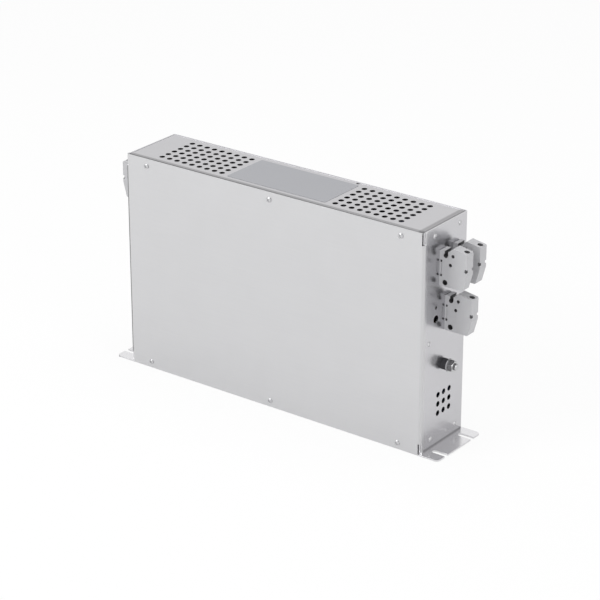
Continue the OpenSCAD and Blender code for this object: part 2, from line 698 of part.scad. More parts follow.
// Moulded rail on the back wall with a seat for each core
module core_rail() {
    rail_l = 2 * core_pitch + core_l + 20;
    rail_h = 60;
    color("dimgray") difference() {
        box([-rail_l / 2, inner_back_y - rail_d, core_z - rail_h / 2],
            [rail_l / 2, inner_back_y, core_z + rail_h / 2]);
        for (x = CORE_XS) translate([x - core_l / 2 - fit_gap, core_y, core_z]) rotate([0, 90, 0])
            cylinder(h = core_l + 2 * fit_gap, d = core_d + 2 * fit_gap);
    }
}

module capacitor_tray() {
    foot = 8;
    color("darkolivegreen") {
        box([-pad_l / 2, -pad_w / 2, pad_z], [pad_l / 2, pad_w / 2, pad_top]);
        for (x = [-pad_l / 2, pad_l / 2 - foot]) for (y = [-pad_w / 2, pad_w / 2 - foot])
            box([x, y, base_t], [x + foot, y + foot, pad_z + eps]);
    }
}

// Boxed film capacitor with its two blade terminals
module line_capacitor(i) {
    blade = [1, 6, 9];
    color("gold") translate([CAPACITOR_XS[i], 0, pad_top]) {
        linear_extrude(capacitor_h) round_rect([-capacitor_l / 2, -capacitor_w / 2], [capacitor_l / 2, capacitor_w / 2], 2);
        for (x = [-0.3, 0.3] * capacitor_l) translate([x - blade[0] / 2, -blade[1] / 2, capacitor_h - eps]) cube(blade);
    }
}

module earth_capacitors() {
    color("royalblue") for (y = [-1, 0, 1] * (can_d + 3))
        translate([pad_l / 2 - can_d / 2 - 1, y, pad_top]) cylinder(h = can_h, d = can_d);
}

module discharge_resistors() {
    body_d = 7;
    edge = 2;
    body_l = pad_l / 2 + CAPACITOR_XS[0] - capacitor_l / 2 - 2 * edge;
    color("ivory") for (y = [-1, 0, 1] * (body_d + 6))
        translate([edge - pad_l / 2, y, pad_top + body_d / 2]) rotate([0, 90, 0])
            cylinder(h = body_l, d = body_d);
}

// ---------------------------------------------------------------- nodes

base_plate();
case_shell();
top_panel();
front_cover();
rating_label();
for (i = [0:len(SCREWS) - 1])
    cover_screw(i);
for (s = SIDES) {
    end_rivets(s);
    foot_angle(s);
    earth_stud(s);
    inner_nut(s);
    outer_nut(s);
}
for (i = [0:len(TERMINALS) - 1]) {
    terminal_housing(i);
    terminal_conductor(i);
    terminal_clamp_screw(i);
    terminal_lock(i);
}
for (i = [0:len(BUSBARS) - 1])
    busbar(i);
for (i = [0:len(CORE_XS) - 1])
    choke_core(i);
for (i = [0:len(CAPACITOR_XS) - 1])
    line_capacitor(i);
core_rail();
capacitor_tray();
earth_capacitors();
discharge_resistors();
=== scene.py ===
"""Dresses a three-phase line filter and sets the studio around it.

The filter's sheets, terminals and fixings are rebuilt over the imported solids
with rounded edges, and every surface gets its finish.
"""

from __future__ import annotations

import json
import logging
import math
from collections.abc import Callable
from dataclasses import dataclass
from enum import Enum

import bpy
from mathutils import Matrix, Vector

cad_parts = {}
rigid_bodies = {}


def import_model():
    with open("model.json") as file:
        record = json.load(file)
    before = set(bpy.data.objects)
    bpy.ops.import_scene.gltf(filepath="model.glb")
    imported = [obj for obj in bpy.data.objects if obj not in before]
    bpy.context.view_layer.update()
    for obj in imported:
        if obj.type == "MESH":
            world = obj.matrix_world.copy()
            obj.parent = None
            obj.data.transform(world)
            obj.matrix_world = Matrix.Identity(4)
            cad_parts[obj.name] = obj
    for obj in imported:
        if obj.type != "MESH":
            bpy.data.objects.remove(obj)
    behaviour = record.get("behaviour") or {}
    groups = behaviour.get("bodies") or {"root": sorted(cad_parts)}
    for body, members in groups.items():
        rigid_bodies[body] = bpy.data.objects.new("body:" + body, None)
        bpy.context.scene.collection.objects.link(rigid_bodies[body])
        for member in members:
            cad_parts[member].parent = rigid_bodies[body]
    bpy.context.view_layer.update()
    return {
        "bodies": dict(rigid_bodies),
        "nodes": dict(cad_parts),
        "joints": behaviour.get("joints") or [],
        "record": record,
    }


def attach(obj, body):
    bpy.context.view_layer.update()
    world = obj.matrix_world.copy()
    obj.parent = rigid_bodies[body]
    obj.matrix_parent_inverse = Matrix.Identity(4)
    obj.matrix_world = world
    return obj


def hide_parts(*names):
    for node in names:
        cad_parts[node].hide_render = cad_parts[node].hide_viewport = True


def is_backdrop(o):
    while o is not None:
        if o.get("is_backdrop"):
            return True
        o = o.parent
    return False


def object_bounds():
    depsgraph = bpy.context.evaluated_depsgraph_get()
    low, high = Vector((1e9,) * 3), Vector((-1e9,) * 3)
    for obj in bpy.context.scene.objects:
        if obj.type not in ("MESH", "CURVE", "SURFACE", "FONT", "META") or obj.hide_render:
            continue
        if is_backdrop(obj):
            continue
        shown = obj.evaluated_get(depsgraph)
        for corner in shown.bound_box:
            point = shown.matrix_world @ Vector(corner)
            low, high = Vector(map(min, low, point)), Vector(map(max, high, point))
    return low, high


LOG = logging.getLogger("line_filter")
BODY = "root"
MM = 0.001

# Painted shade on faces: a positive mark darkens a face, a negative one gives it a painted
# highlight.
PAINTED_LIGHT_MARK = "worn"  # face attribute that the finishes read
WELD = 1e-6  # corners closer than this many metres are one
FLAT = math.radians(0.5)  # faces that turn by less are joined
SHARP = math.radians(32.0)  # edges that turn by more are rounded
ROUND_FACES = 2  # faces across a rounded edge

Triple = tuple[float, float, float]
FaceMark = Callable[[bpy.types.MeshPolygon], float]


class Side(Enum):
    """The two ends of the case, each with the sign of its X."""

    LOAD = 1
    LINE = -1

    @property
    def word(self) -> str:
        """Name of the end as the solids spell it."""
        return self.name.lower()


# ---------------------------------------------------------------- helpers


def deselect() -> None:
    """Leaves object mode with nothing selected."""
    if bpy.context.object and bpy.context.object.mode != "OBJECT":
        bpy.ops.object.mode_set(mode="OBJECT")
    bpy.ops.object.select_all(action="DESELECT")


def activate(piece: bpy.types.Object) -> None:
    """Makes one piece the only selected and the active one.

    Args:
        piece: The piece to work on.
    """
    deselect()
    piece.select_set(True)
    bpy.context.view_layer.objects.active = piece


def settle(piece: bpy.types.Object, name: str, finish: bpy.types.Material) -> None:
    """Names a finished piece, puts its place in its mesh and rides it on the body.

    Args:
        piece: The finished piece.
        name: Its name.
        finish: Its material.
    """
    activate(piece)
    bpy.ops.object.transform_apply(location=True, rotation=True, scale=True)
    piece.name = name
    piece.data.name = name
    piece.data.materials.clear()
    piece.data.materials.append(finish)
    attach(piece, BODY)


def bevel_edges(piece: bpy.types.Object, width: float) -> None:
    """Rounds a piece's sharp edges and keeps its flats even, with applied modifiers.

    Args:
        piece: The piece to round.
        width: Width of the rounding in metres.
    """
    activate(piece)
    rounding = piece.modifiers.new("rounding", "BEVEL")
    rounding.width = width
    rounding.segments = ROUND_FACES
    rounding.limit_method = "ANGLE"
    rounding.angle_limit = SHARP
    rounding.use_clamp_overlap = True
    rounding.miter_outer = "MITER_ARC"
    bpy.ops.object.modifier_apply(modifier=rounding.name)
    bpy.ops.object.shade_smooth_by_angle(angle=SHARP)
    flats = piece.modifiers.new("even flats", "WEIGHTED_NORMAL")
    flats.mode = "FACE_AREA"
    flats.weight = 100
    flats.keep_sharp = True
    bpy.ops.object.modifier_apply(modifier=flats.name)


def solid_copy(node: str, frame: dict) -> bpy.types.Object:
    """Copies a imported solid's mesh as one welded surface with its flat faces joined.

    Args:
        node: Name of the solid.

    Returns:
        The new, unfinished piece.
    """
    source = frame["nodes"][node]
    piece = bpy.data.objects.new(node + "_skin", source.data.copy())
    bpy.context.scene.collection.objects.link(piece)
    activate(piece)
    bpy.ops.object.mode_set(mode="EDIT")
    bpy.ops.mesh.select_all(action="SELECT")
    bpy.ops.mesh.remove_doubles(threshold=WELD)
    bpy.ops.mesh.dissolve_limited(angle_limit=FLAT, delimit=set())
    bpy.ops.object.mode_set(mode="OBJECT")
    return piece


def mark_faces(piece: bpy.types.Object, chosen: FaceMark) -> None:
    """Stores for each face how much painted shade or painted highlight it gets, for its finish to
    read.

    Args:
        piece: The piece whose faces are marked.
        chosen: Gives a face's mark: 1 paints the most shade on it, below 0 paints a highlight on
            it.
    """
    mark = piece.data.attributes.new(PAINTED_LIGHT_MARK, "FLOAT", "FACE")
    mark.data.foreach_set("value", [chosen(face) for face in piece.data.polygons])


# ---------------------------------------------------------------- finishes


class Nodes:
    """Short hand for building a node tree."""

    def __init__(self, tree: bpy.types.NodeTree) -> None:
        """Keeps the tree that nodes are added to.

        Args:
            tree: The tree.
        """
        self.tree = tree

    def add(self, kind: str, **values: object) -> bpy.types.Node:
        """Adds a node and sets its properties.

        Args:
            kind: The node's type.
            values: Its properties, by name.

        Returns:
            The new node.
        """
        node = self.tree.nodes.new(kind)
        for name, value in values.items():
            setattr(node, name, value)
        return node

    def link(self, start: bpy.types.NodeSocket, end: bpy.types.NodeSocket) -> None:
        """Joins an output to an input.

        Args:
            start: The output.
            end: The input.
        """
        self.tree.links.new(start, end)

    def math(
        self, operation: str, *terms: bpy.types.NodeSocket | float, clamp: bool = False
    ) -> bpy.types.NodeSocket:
        """Adds a Math node.

        Args:
            operation: What it works out.
            terms: Its inputs in order, each an output to join or a number.
            clamp: Whether the result stays between 0 and 1.

        Returns:
            Its output.
        """
        node = self.add("ShaderNodeMath", operation=operation, use_clamp=clamp)
        for term, end in zip(terms, node.inputs):
            if isinstance(term, bpy.types.NodeSocket):
                self.link(term, end)
            else:
                end.default_value = term
        return node.outputs[0]

    def scaled(
        self, vector: bpy.types.NodeSocket, share: bpy.types.NodeSocket
    ) -> bpy.types.NodeSocket:
        """Multiplies a vector or colour by a number.

        Args:
            vector: The output with the vector.
            share: The output with the number.

        Returns:
            The output with the product.
        """
        node = self.add("ShaderNodeVectorMath", operation="SCALE")
        self.link(vector, node.inputs[0])
        self.link(share, node.inputs["Scale"])
        return node.outputs[0]

    def ramp(
        self, value: bpy.types.NodeSocket, start: float, end: float, full: float
    ) -> bpy.types.NodeSocket:
        """Leads smoothly from 1 to another number while a value runs between two limits.

        Args:
            value: The output with the value.
            start: The value that gives 1.
            end: The value that gives the other number.
            full: That number.

        Returns:
            The output with the result.
        """
        node = self.add("ShaderNodeMapRange", interpolation_type="SMOOTHSTEP")
        node.inputs["From Min"].default_value = start
        node.inputs["From Max"].default_value = end
        node.inputs["To Min"].default_value = 1.0
        node.inputs["To Max"].default_value = full
        self.link(value, node.inputs["Value"])
        return node.outputs[0]

    def mixed(
        self,
        share: bpy.types.NodeSocket,
        without: bpy.types.NodeSocket,
        full: bpy.types.NodeSocket,
    ) -> bpy.types.NodeSocket:
        """Mixes two shaders.

        Args:
            share: The output with the second shader's share.
            without: The first shader.
            full: The second shader.

        Returns:
            The mixed shader.
        """
        node = self.add("ShaderNodeMixShader")
        for start, end in zip((share, without, full), node.inputs):
            self.link(start, end)
        return node.outputs[0]


def surface_group() -> bpy.types.NodeTree:
    """Builds the group that gives a surface its grain, mottle and height.

    Returns:
        The node group, with the inputs Colour, Roughness, Stretch, Grain size,
        Grain and Mottle, and the outputs Colour, Roughness and Height.
    """
    name = "surface grain"
    if name in bpy.data.node_groups:
        return bpy.data.node_groups[name]
    group = bpy.data.node_groups.new(name, "ShaderNodeTree")
    for label, kind, value in (
        ("Colour", "NodeSocketColor", (0.5, 0.5, 0.5, 1.0)),
        ("Roughness", "NodeSocketFloat", 0.4),
        ("Stretch", "NodeSocketVector", (1.0, 1.0, 1.0)),
        ("Grain size", "NodeSocketFloat", 2.0 * MM),
        ("Grain", "NodeSocketFloat", 0.05),
        ("Mottle", "NodeSocketFloat", 0.03),
    ):
        socket = group.interface.new_socket(name=label, in_out="INPUT", socket_type=kind)
        socket.default_value = value
    for label, kind in (
        ("Colour", "NodeSocketColor"),
        ("Roughness", "NodeSocketFloat"),
        ("Height", "NodeSocketFloat"),
    ):
        group.interface.new_socket(name=label, in_out="OUTPUT", socket_type=kind)
    n = Nodes(group)
    inputs, outputs = n.add("NodeGroupInput"), n.add("NodeGroupOutput")
    place = n.add("ShaderNodeTexCoord")
    stretch = n.add("ShaderNodeVectorMath", operation="MULTIPLY")
    n.link(place.outputs["Object"], stretch.inputs[0])
    n.link(inputs.outputs["Stretch"], stretch.inputs[1])
    fine = n.add("ShaderNodeTexNoise")
    fine.inputs["Detail"].default_value = 4.0
    n.link(stretch.outputs[0], fine.inputs["Vector"])
    n.link(n.math("DIVIDE", 1.0, inputs.outputs["Grain size"]), fine.inputs["Scale"])
    broad = n.add("ShaderNodeTexNoise")
    broad.inputs["Scale"].default_value = 22.0
    broad.inputs["Detail"].default_value = 3.0
    n.link(place.outputs["Object"], broad.inputs["Vector"])

    def swing(noise: bpy.types.Node, amount: str) -> bpy.types.NodeSocket:
        """Spreads a noise about 0.

        Args:
            noise: The noise texture.
            amount: Name of the group's input that says how far it swings.

        Returns:
            The output with the result.
        """
        centred = n.math("MULTIPLY_ADD", noise.outputs["Fac"], 2.0, -1.0)
        return n.math("MULTIPLY", centred, inputs.outputs[amount])

    gain = n.math("ADD", n.math("ADD", swing(fine, "Grain"), swing(broad, "Mottle")), 1.0)
    rough = n.math("MULTIPLY", gain, inputs.outputs["Roughness"], clamp=True)
    n.link(n.scaled(inputs.outputs["Colour"], gain), outputs.inputs["Colour"])
    n.link(rough, outputs.inputs["Roughness"])
    n.link(fine.outputs["Fac"], outputs.inputs["Height"])
    return group


@dataclass(frozen=True)
class Finish:
    """One finish: its colour, gloss and grain.

    Attributes:
        name: Name of the material.
        colour: Colour, as linear red, green and blue.
        roughness: Mean roughness.
        metallic: 1 for bare metal, 0 for plastic and paint.
        stretch: How much finer the grain is along each axis.
        grain_size: Size of the grain in metres.
        grain: Share by which the grain changes colour and roughness.
        mottle: Share by which the broad patches change them.
        relief: Depth of the grain in metres.
        marked: Share of the colour that marked faces lose as painted shade; a face marked below 0
            gains it as a painted highlight.
        rim: Share of the colour lost as painted shade where the sheet nears a bend or a seam.
        rims: Axis of each such place, where the painted shade starts and where it is full.
    """

    name: str
    colour: Triple
    roughness: float
    metallic: float = 0.0
    stretch: Triple = (1.0, 1.0, 1.0)
    grain_size: float = 1.0 * MM
    grain: float = 0.05
    mottle: float = 0.03
    relief: float = 2e-6
    marked: float = 0.0
    rim: float = 0.0
    rims: tuple[tuple[str, float, float], ...] = ()

    def material(self) -> bpy.types.Material:
        """Builds the material, or gives it again once it is built.

        Returns:
            The material.
        """
        if self.name in bpy.data.materials:
            return bpy.data.materials[self.name]
        made = bpy.data.materials.new(self.name)
        made.use_nodes = True
        made.diffuse_color = (*self.colour, 1.0)
        n = Nodes(made.node_tree)
        shader = made.node_tree.nodes["Principled BSDF"]
        shader.inputs["Metallic"].default_value = self.metallic
        grain = n.add("ShaderNodeGroup", node_tree=surface_group())
        for label, value in (
            ("Colour", (*self.colour, 1.0)),
            ("Roughness", self.roughness),
            ("Stretch", self.stretch),
            ("Grain size", self.grain_size),
            ("Grain", self.grain),
            ("Mottle", self.mottle),
        ):
            grain.inputs[label].default_value = value
        kept = self.kept_share(n)
        n.link(n.scaled(grain.outputs["Colour"], kept), shader.inputs["Base Color"])
        n.link(grain.outputs["Roughness"], shader.inputs["Roughness"])
        relief = n.add("ShaderNodeBump")
        relief.inputs["Distance"].default_value = self.relief
        relief.inputs["Strength"].default_value = 1.0
        n.link(grain.outputs["Height"], relief.inputs["Height"])
        n.link(relief.outputs["Normal"], shader.inputs["Normal"])
        return made

    def kept_share(self, n: Nodes) -> bpy.types.NodeSocket:
        """Works out how much of the colour is kept under the painted shade and painted highlight
        on marked faces and near bends and seams.

        Args:
            n: The material's node builder.

        Returns:
            The output with the share of the colour that is kept.
        """
        mark = n.add("ShaderNodeAttribute", attribute_type="GEOMETRY", attribute_name=PAINTED_LIGHT_MARK)
        # A positive mark takes colour away as painted shade; a negative one adds it as a painted
        # highlight.
        kept = n.math("MULTIPLY_ADD", mark.outputs["Fac"], -self.marked, 1.0)
        if not self.rims:
            return kept
        place = n.add("ShaderNodeTexCoord")
        parts = n.add("ShaderNodeSeparateXYZ")
        n.link(place.outputs["Object"], parts.inputs[0])
        # Painted shade in a band by each bend or seam.
        for axis, start, end in self.rims:
            rim = n.ramp(parts.outputs[axis], start, end, 1.0 - self.rim)
            kept = n.math("MULTIPLY", kept, rim)
        return kept


ROLLED = (0.02, 1.0, 1.0)  # grain of a sheet rolled along X
UPRIGHT = (0.02, 0.02, 1.0)  # the same on the walls, in level lines
SHEET_GRAIN = 1.2 * MM

# The four sheets are one steel; their colours differ as painted light and shade, with the top
# panel darker and the base plate lighter.
COVER_STEEL = Finish(
    "front cover steel", (0.64, 0.64, 0.65), 0.3, metallic=1.0, stretch=UPRIGHT,
    grain_size=SHEET_GRAIN, grain=0.02, mottle=0.02, relief=2e-7, marked=0.65,
)
# The end walls' foot, by the base plate, gets a band of painted shadow.
WALL_STEEL = Finish(
    "end wall steel", (0.63, 0.625, 0.645), 0.24, metallic=1.0, stretch=UPRIGHT,
    grain_size=SHEET_GRAIN, grain=0.02, mottle=0.03, relief=2e-7, marked=0.5,
    rim=0.45, rims=(("Z", 5.0 * MM, 2.5 * MM),),
)
# Bands of painted shade lie by the top panel's end bends and by its seam with the front cover.
TOP_STEEL = Finish(
    "top panel steel", (0.535, 0.53, 0.545), 0.28, metallic=1.0, stretch=ROLLED,
    grain_size=SHEET_GRAIN, grain=0.03, mottle=0.03, relief=2e-7, marked=0.5,
    rim=0.4, rims=(("X", 200.5 * MM, 204.0 * MM), ("Y", -36.0 * MM, -38.5 * MM)),
)
BASE_STEEL = Finish(
    "base plate steel", (0.76, 0.755, 0.77), 0.25, metallic=1.0, stretch=ROLLED,
    grain_size=SHEET_GRAIN, grain=0.03, mottle=0.03, relief=2e-7, marked=0.4,
)
LABEL_FOIL = Finish(
    "bare label foil", (0.388, 0.392, 0.414), 0.55, metallic=0.3,
    grain_size=0.6 * MM, grain=0.04, mottle=0.02,
)
ZINC = Finish(
    "zinc-plated fixings", (0.58, 0.58, 0.59), 0.24, metallic=1.0,
    grain_size=0.8 * MM, grain=0.08, mottle=0.05, relief=3e-6, marked=0.6,
)
RIVET_ALLOY = Finish(
    "rivet alloy", (0.6, 0.6, 0.61), 0.42, metallic=1.0, grain=0.06, mottle=0.04, marked=0.5,
)
BLACK_STEEL = Finish(
    "blackened steel", (0.05, 0.05, 0.055), 0.38, metallic=0.6,
    grain_size=0.8 * MM, grain=0.2, mottle=0.1, relief=4e-6,
)
TERMINAL_GREY = Finish(
    "terminal grey moulding", (0.53, 0.53, 0.545), 0.5,
    grain_size=0.7 * MM, grain=0.03, mottle=0.02, relief=6e-6, marked=0.88,
)
CONTACT = Finish(
    "plated contact brass", (0.5, 0.44, 0.32), 0.35, metallic=1.0,
    grain=0.08, mottle=0.05, relief=3e-6,
)
COPPER = Finish(
    "bus copper", (0.75, 0.4, 0.25), 0.35, metallic=1.0, stretch=(0.05, 1.0, 1.0),
    grain=0.08, mottle=0.06,
)
CORE_COAT = Finish(
    "core epoxy", (0.05, 0.07, 0.2), 0.4,
    grain_size=1.5 * MM, grain=0.1, mottle=0.05, relief=3e-5,
)
RAIL_BLACK = Finish(
    "rail moulding", (0.06, 0.06, 0.06), 0.5,
    grain_size=0.7 * MM, grain=0.08, mottle=0.05, relief=1e-5,
)
BOARD = Finish("tray laminate", (0.08, 0.2, 0.09), 0.5, grain=0.06, mottle=0.05, relief=5e-6)
FILM_BOX = Finish("film capacitor box", (0.65, 0.45, 0.07), 0.35, grain=0.04, relief=5e-6)
EARTH_BOX = Finish("earth capacitor coat", (0.06, 0.18, 0.45), 0.4, relief=8e-6)
RESISTOR_COAT = Finish(
    "resistor cement", (0.7, 0.67, 0.58), 0.7,
    grain_size=0.6 * MM, grain=0.06, mottle=0.04, relief=1e-5,
)

SLOT_FINISHES = {
    "sheet_steel": WALL_STEEL,
    "label": LABEL_FOIL,
    "fixing_steel": ZINC,
    "rivet": RIVET_ALLOY,
    "dark_steel": BLACK_STEEL,
    "terminal_plastic": TERMINAL_GREY,
    "contact_brass": CONTACT,
    "copper": COPPER,
    "core_coating": CORE_COAT,
    "rail_plastic": RAIL_BLACK,
    "board": BOARD,
    "capacitor_box": FILM_BOX,
    "earth_capacitor": EARTH_BOX,
    "resistor": RESISTOR_COAT,
}


# ---------------------------------------------------------------- filter


@dataclass(frozen=True)
class Skin:
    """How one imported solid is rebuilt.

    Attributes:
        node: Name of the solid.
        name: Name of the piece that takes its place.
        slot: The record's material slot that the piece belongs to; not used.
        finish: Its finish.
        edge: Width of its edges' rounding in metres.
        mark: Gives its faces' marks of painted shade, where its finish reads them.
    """

    node: str
    name: str
    slot: str
    finish: Finish
    edge: float
    mark: FaceMark | None = None

    def build(self, frame: dict) -> None:
        """Rebuilds the solid with rounded edges and its finish.
        """
        piece = solid_copy(self.node, frame)
        if self.mark:
            mark_faces(piece, self.mark)
        bevel_edges(piece, self.edge)
        settle(piece, self.name, self.finish.material())
        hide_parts(self.node)
        LOG.info("built %s", self.name)


@dataclass
class Inside:
    """The parts behind the sheets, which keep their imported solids."""

    frame: dict

    def dress(self) -> None:
        """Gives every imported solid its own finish."""
        slots = {s["node"]: s["material_slot"] for s in self.frame["record"]["subparts"]}
        for name, solid in self.frame["nodes"].items():
            finish = SLOT_FINISHES[slots[name]].material()
            if not solid.material_slots:
                solid.data.materials.append(finish)
            for place in solid.material_slots:
                place.material = finish


@dataclass
class SheetCase:
    """The four folded sheets of the case and the label.

    Attributes:
        edge: Width of the sheets' rounded edges.
        label_edge: Width of the label's rounded edge.
        flat: Cosine above which a face lies along one of the planes.
        inner: Half the length and depth of the field that has holes and no bends; the walls of
            its holes get full painted shade.
        corner_mark: Painted shade on the upright bend that the surroundings darken.
        upright_mark: Painted shade on the other upright bends.
        near_mark: Mark of the level bends at the front and at the load end; below 0, a painted
            highlight.
        far_mark: Mark of the level bends at the back and at the line end; below 0, a painted
            highlight.
    """

    frame: dict
    edge: float = 0.25 * MM
    label_edge: float = 0.1 * MM
    flat: float = 0.998
    inner: tuple[float, float] = (206.0 * MM, 39.0 * MM)
    corner_mark: float = 1.0
    upright_mark: float = 0.1
    near_mark: float = -0.3
    far_mark: float = -1.0

    def bend_mark(self, face: bpy.types.MeshPolygon) -> float:
        """Gives hole walls full painted shade, and the bends painted shade or a painted
        highlight.

        Args:
            face: A face of a sheet.

        Returns:
            Its mark.
        """
        spot, out = face.center, face.normal
        if max(abs(v) for v in out) > self.flat:
            return 0.0
        if abs(spot.x) < self.inner[0] and abs(spot.y) < self.inner[1]:
            return 1.0
        level = 0.05
        if abs(out.z) < level:
            return self.corner_mark if out.x < 0.0 and out.y < 0.0 else self.upright_mark
        return self.near_mark if out.y < -level or out.x > level else self.far_mark

    def build(self) -> None:
        """Rebuilds each sheet and the label with rounded edges."""
        for node, finish in (
            ("base_plate", BASE_STEEL),
            ("case_shell", WALL_STEEL),
            ("top_panel", TOP_STEEL),
            ("front_cover", COVER_STEEL),
        ):
            name = node + "_sheet"
            Skin(node, name, "sheet_steel", finish, self.edge, self.bend_mark).build(self.frame)
        label = Skin("rating_label", "label_blank", "label", LABEL_FOIL, self.label_edge)
        label.build(self.frame)


@dataclass
class Housing:
    """Tells the hollows of one terminal housing from its outside, for the painted shade in them.

    Attributes:
        foot: Height of its underside.
        sides: Its least and greatest Y.
        wall_x: Distance of the end walls' outer faces from the middle of the case.
        skin: Depth below the outside where a hollow's faces are marked with painted shade.
        end_skin: The same, below its flat sides.
        outline: Corners of its block in millimetres, as the reach from the end
            wall and the height over the underside, against the clock.
        dimple_from: Reach beyond which the small dimples lie.
        dimple_rise: Least and greatest height of the small dimples.
        dimple_mark: Mark of their faces, which get lighter painted shade.
    """

    foot: float
    sides: tuple[float, float]
    wall_x: float = 210.9 * MM
    skin: float = 0.9 * MM
    end_skin: float = 0.5 * MM
    outline: tuple[tuple[float, float], ...] = (
        (0.0, 0.0), (30.5, 0.0), (35.5, 18.5), (35.5, 44.5),
        (17.2, 47.5), (12.0, 44.5), (0.0, 44.5),
    )
    dimple_from: float = 12.5 * MM
    dimple_rise: tuple[float, float] = (20.0 * MM, 42.0 * MM)
    dimple_mark: float = 0.75

    @classmethod
    def measured(cls, solid: bpy.types.Object) -> Housing:
        """Measures a packed housing.

        Args:
            solid: The housing.

        Returns:
            What tells its hollows.
        """
        corners = [v.co for v in solid.data.vertices]
        nose = max(abs(c.x) for c in corners) - 3.0 * MM
        depths = [c.y for c in corners if abs(c.x) > nose]
        return cls(min(c.z for c in corners), (min(depths), max(depths)))

    def depth(self, reach: float, height: float) -> float:
        """Gives how deep a point lies inside the block's outline.

        Args:
            reach: Distance from the end wall.
            height: Height over the housing's underside.

        Returns:
            The least distance to the line of a side in metres, below zero outside.
        """
        least = math.inf
        for (x0, z0), (x1, z1) in zip(self.outline, self.outline[1:] + self.outline[:1]):
            along = Vector((x1 - x0, z1 - z0)).normalized()
            least = min(least, along.x * (height - z0 * MM) - along.y * (reach - x0 * MM))
        return least

    def mark(self, face: bpy.types.MeshPolygon) -> float:
        """Marks the faces inside the holes and the groove with painted shade.

        Args:
            face: A face of the housing.

        Returns:
            Its mark, 0 on the outside.
        """
        spot = face.center
        reach, rise = abs(spot.x) - self.wall_x, spot.z - self.foot
        cover = min(spot.y - self.sides[0], self.sides[1] - spot.y)
        level = abs(face.normal.y) > 0.9 and cover < self.skin
        if level or cover < self.end_skin or self.depth(reach, rise) < self.skin:
            return 0.0
        low, high = self.dimple_rise
        return self.dimple_mark if reach > self.dimple_from and low < rise < high else 1.0


@dataclass
class Terminals:
    """The six terminals: housings, clamps and screws.

    Attributes:
        count: How many terminals there are.
        housing_edge: Width of a housing's rounded edges.
        conductor_edge: Width of a clamp's and its bar's.
        screw_edge: Width of a clamp screw's.
    """

    frame: dict
    count: int = 6
    housing_edge: float = 0.35 * MM
    conductor_edge: float = 0.3 * MM
    screw_edge: float = 0.2 * MM

    def build(self) -> None:
        """Rebuilds each housing, clamp and screw with rounded edges."""
        for i in range(1, self.count + 1):
            housing, conductor, screw = (
                f"terminal_{i}_{part}" for part in ("housing", "conductor", "clamp_screw")
            )
            mark = Housing.measured(self.frame["nodes"][housing]).mark
            for node, look, slot, finish, edge, chosen in (
                (housing, "_moulded", "terminal_plastic", TERMINAL_GREY, self.housing_edge, mark),
                (conductor, "_metal", "contact_brass", CONTACT, self.conductor_edge, None),
                (screw, "_metal", "fixing_steel", ZINC, self.screw_edge, None),
            ):
                Skin(node, node + look, slot, finish, edge, chosen).build(self.frame)


@dataclass
class Fixings:
    """Screws, rivets, earth studs and their nuts.

    Attributes:
        screws: How many cover screws there are.
        edge: Width of the rounded edges.
        stud_yz: Y and Z of the earth studs' axes.
        nut_r: Radius within which only the nut and the thread lie.
        washer_mark: Painted shade on the washer's outer ring beyond it.
        end_gain: How fast a face loses its painted shade as it turns to look along the stud.
    """

    frame: dict
    screws: int = 6
    edge: float = 0.2 * MM
    stud_yz: tuple[float, float] = (3.5 * MM, 97.5 * MM)
    nut_r: float = 7.6 * MM
    washer_mark: float = 0.2
    end_gain: float = 1.4

    def thread_mark(self, face: bpy.types.MeshPolygon) -> float:
        """Gives the sides of a stud or nut painted shade, a painted dark reflection.

        Args:
            face: A face of a stud or nut.

        Returns:
            Its mark.
        """
        y, z = self.stud_yz
        if math.hypot(face.center.y - y, face.center.z - z) > self.nut_r:
            return self.washer_mark
        return 1.0 - min(1.0, abs(face.normal.x) * self.end_gain)

    def build(self) -> None:
        """Rebuilds each fixing with rounded edges."""
        kinds = [
            (f"cover_screw_{i}", "fixing_steel", ZINC, None) for i in range(1, self.screws + 1)
        ]
        for side in Side:
            kinds += [
                (f"end_rivets_{side.word}", "rivet", RIVET_ALLOY, None),
                (f"earth_stud_{side.word}", "fixing_steel", ZINC, self.thread_mark),
                (f"inner_nut_{side.word}", "dark_steel", BLACK_STEEL, None),
                (f"outer_nut_{side.word}", "fixing_steel", ZINC, self.thread_mark),
            ]
        for node, slot, finish, mark in kinds:
            Skin(node, node + "_part", slot, finish, self.edge, mark).build(self.frame)


# ---------------------------------------------------------------- studio


@dataclass(frozen=True)
class Lamp:
    """A square lamp.

    Attributes:
        name: Its name.
        place: Its position in metres.
        side: Its side in metres.
        watts: Its power.
    """

    name: str
    place: Triple
    side: float
    watts: float

    def hang(self, aim: Vector) -> None:
        """Hangs the lamp.

        Args:
            aim: The point that it looks at.
        """
        data = bpy.data.lights.new(self.name, "AREA")
        data.shape = "SQUARE"
        data.size = self.side
        data.energy = self.watts
        lamp = bpy.data.objects.new(self.name, data)
        bpy.context.scene.collection.objects.link(lamp)
        lamp.location = self.place
        lamp.rotation_euler = (aim - Vector(self.place)).to_track_quat("-Z", "Y").to_euler()


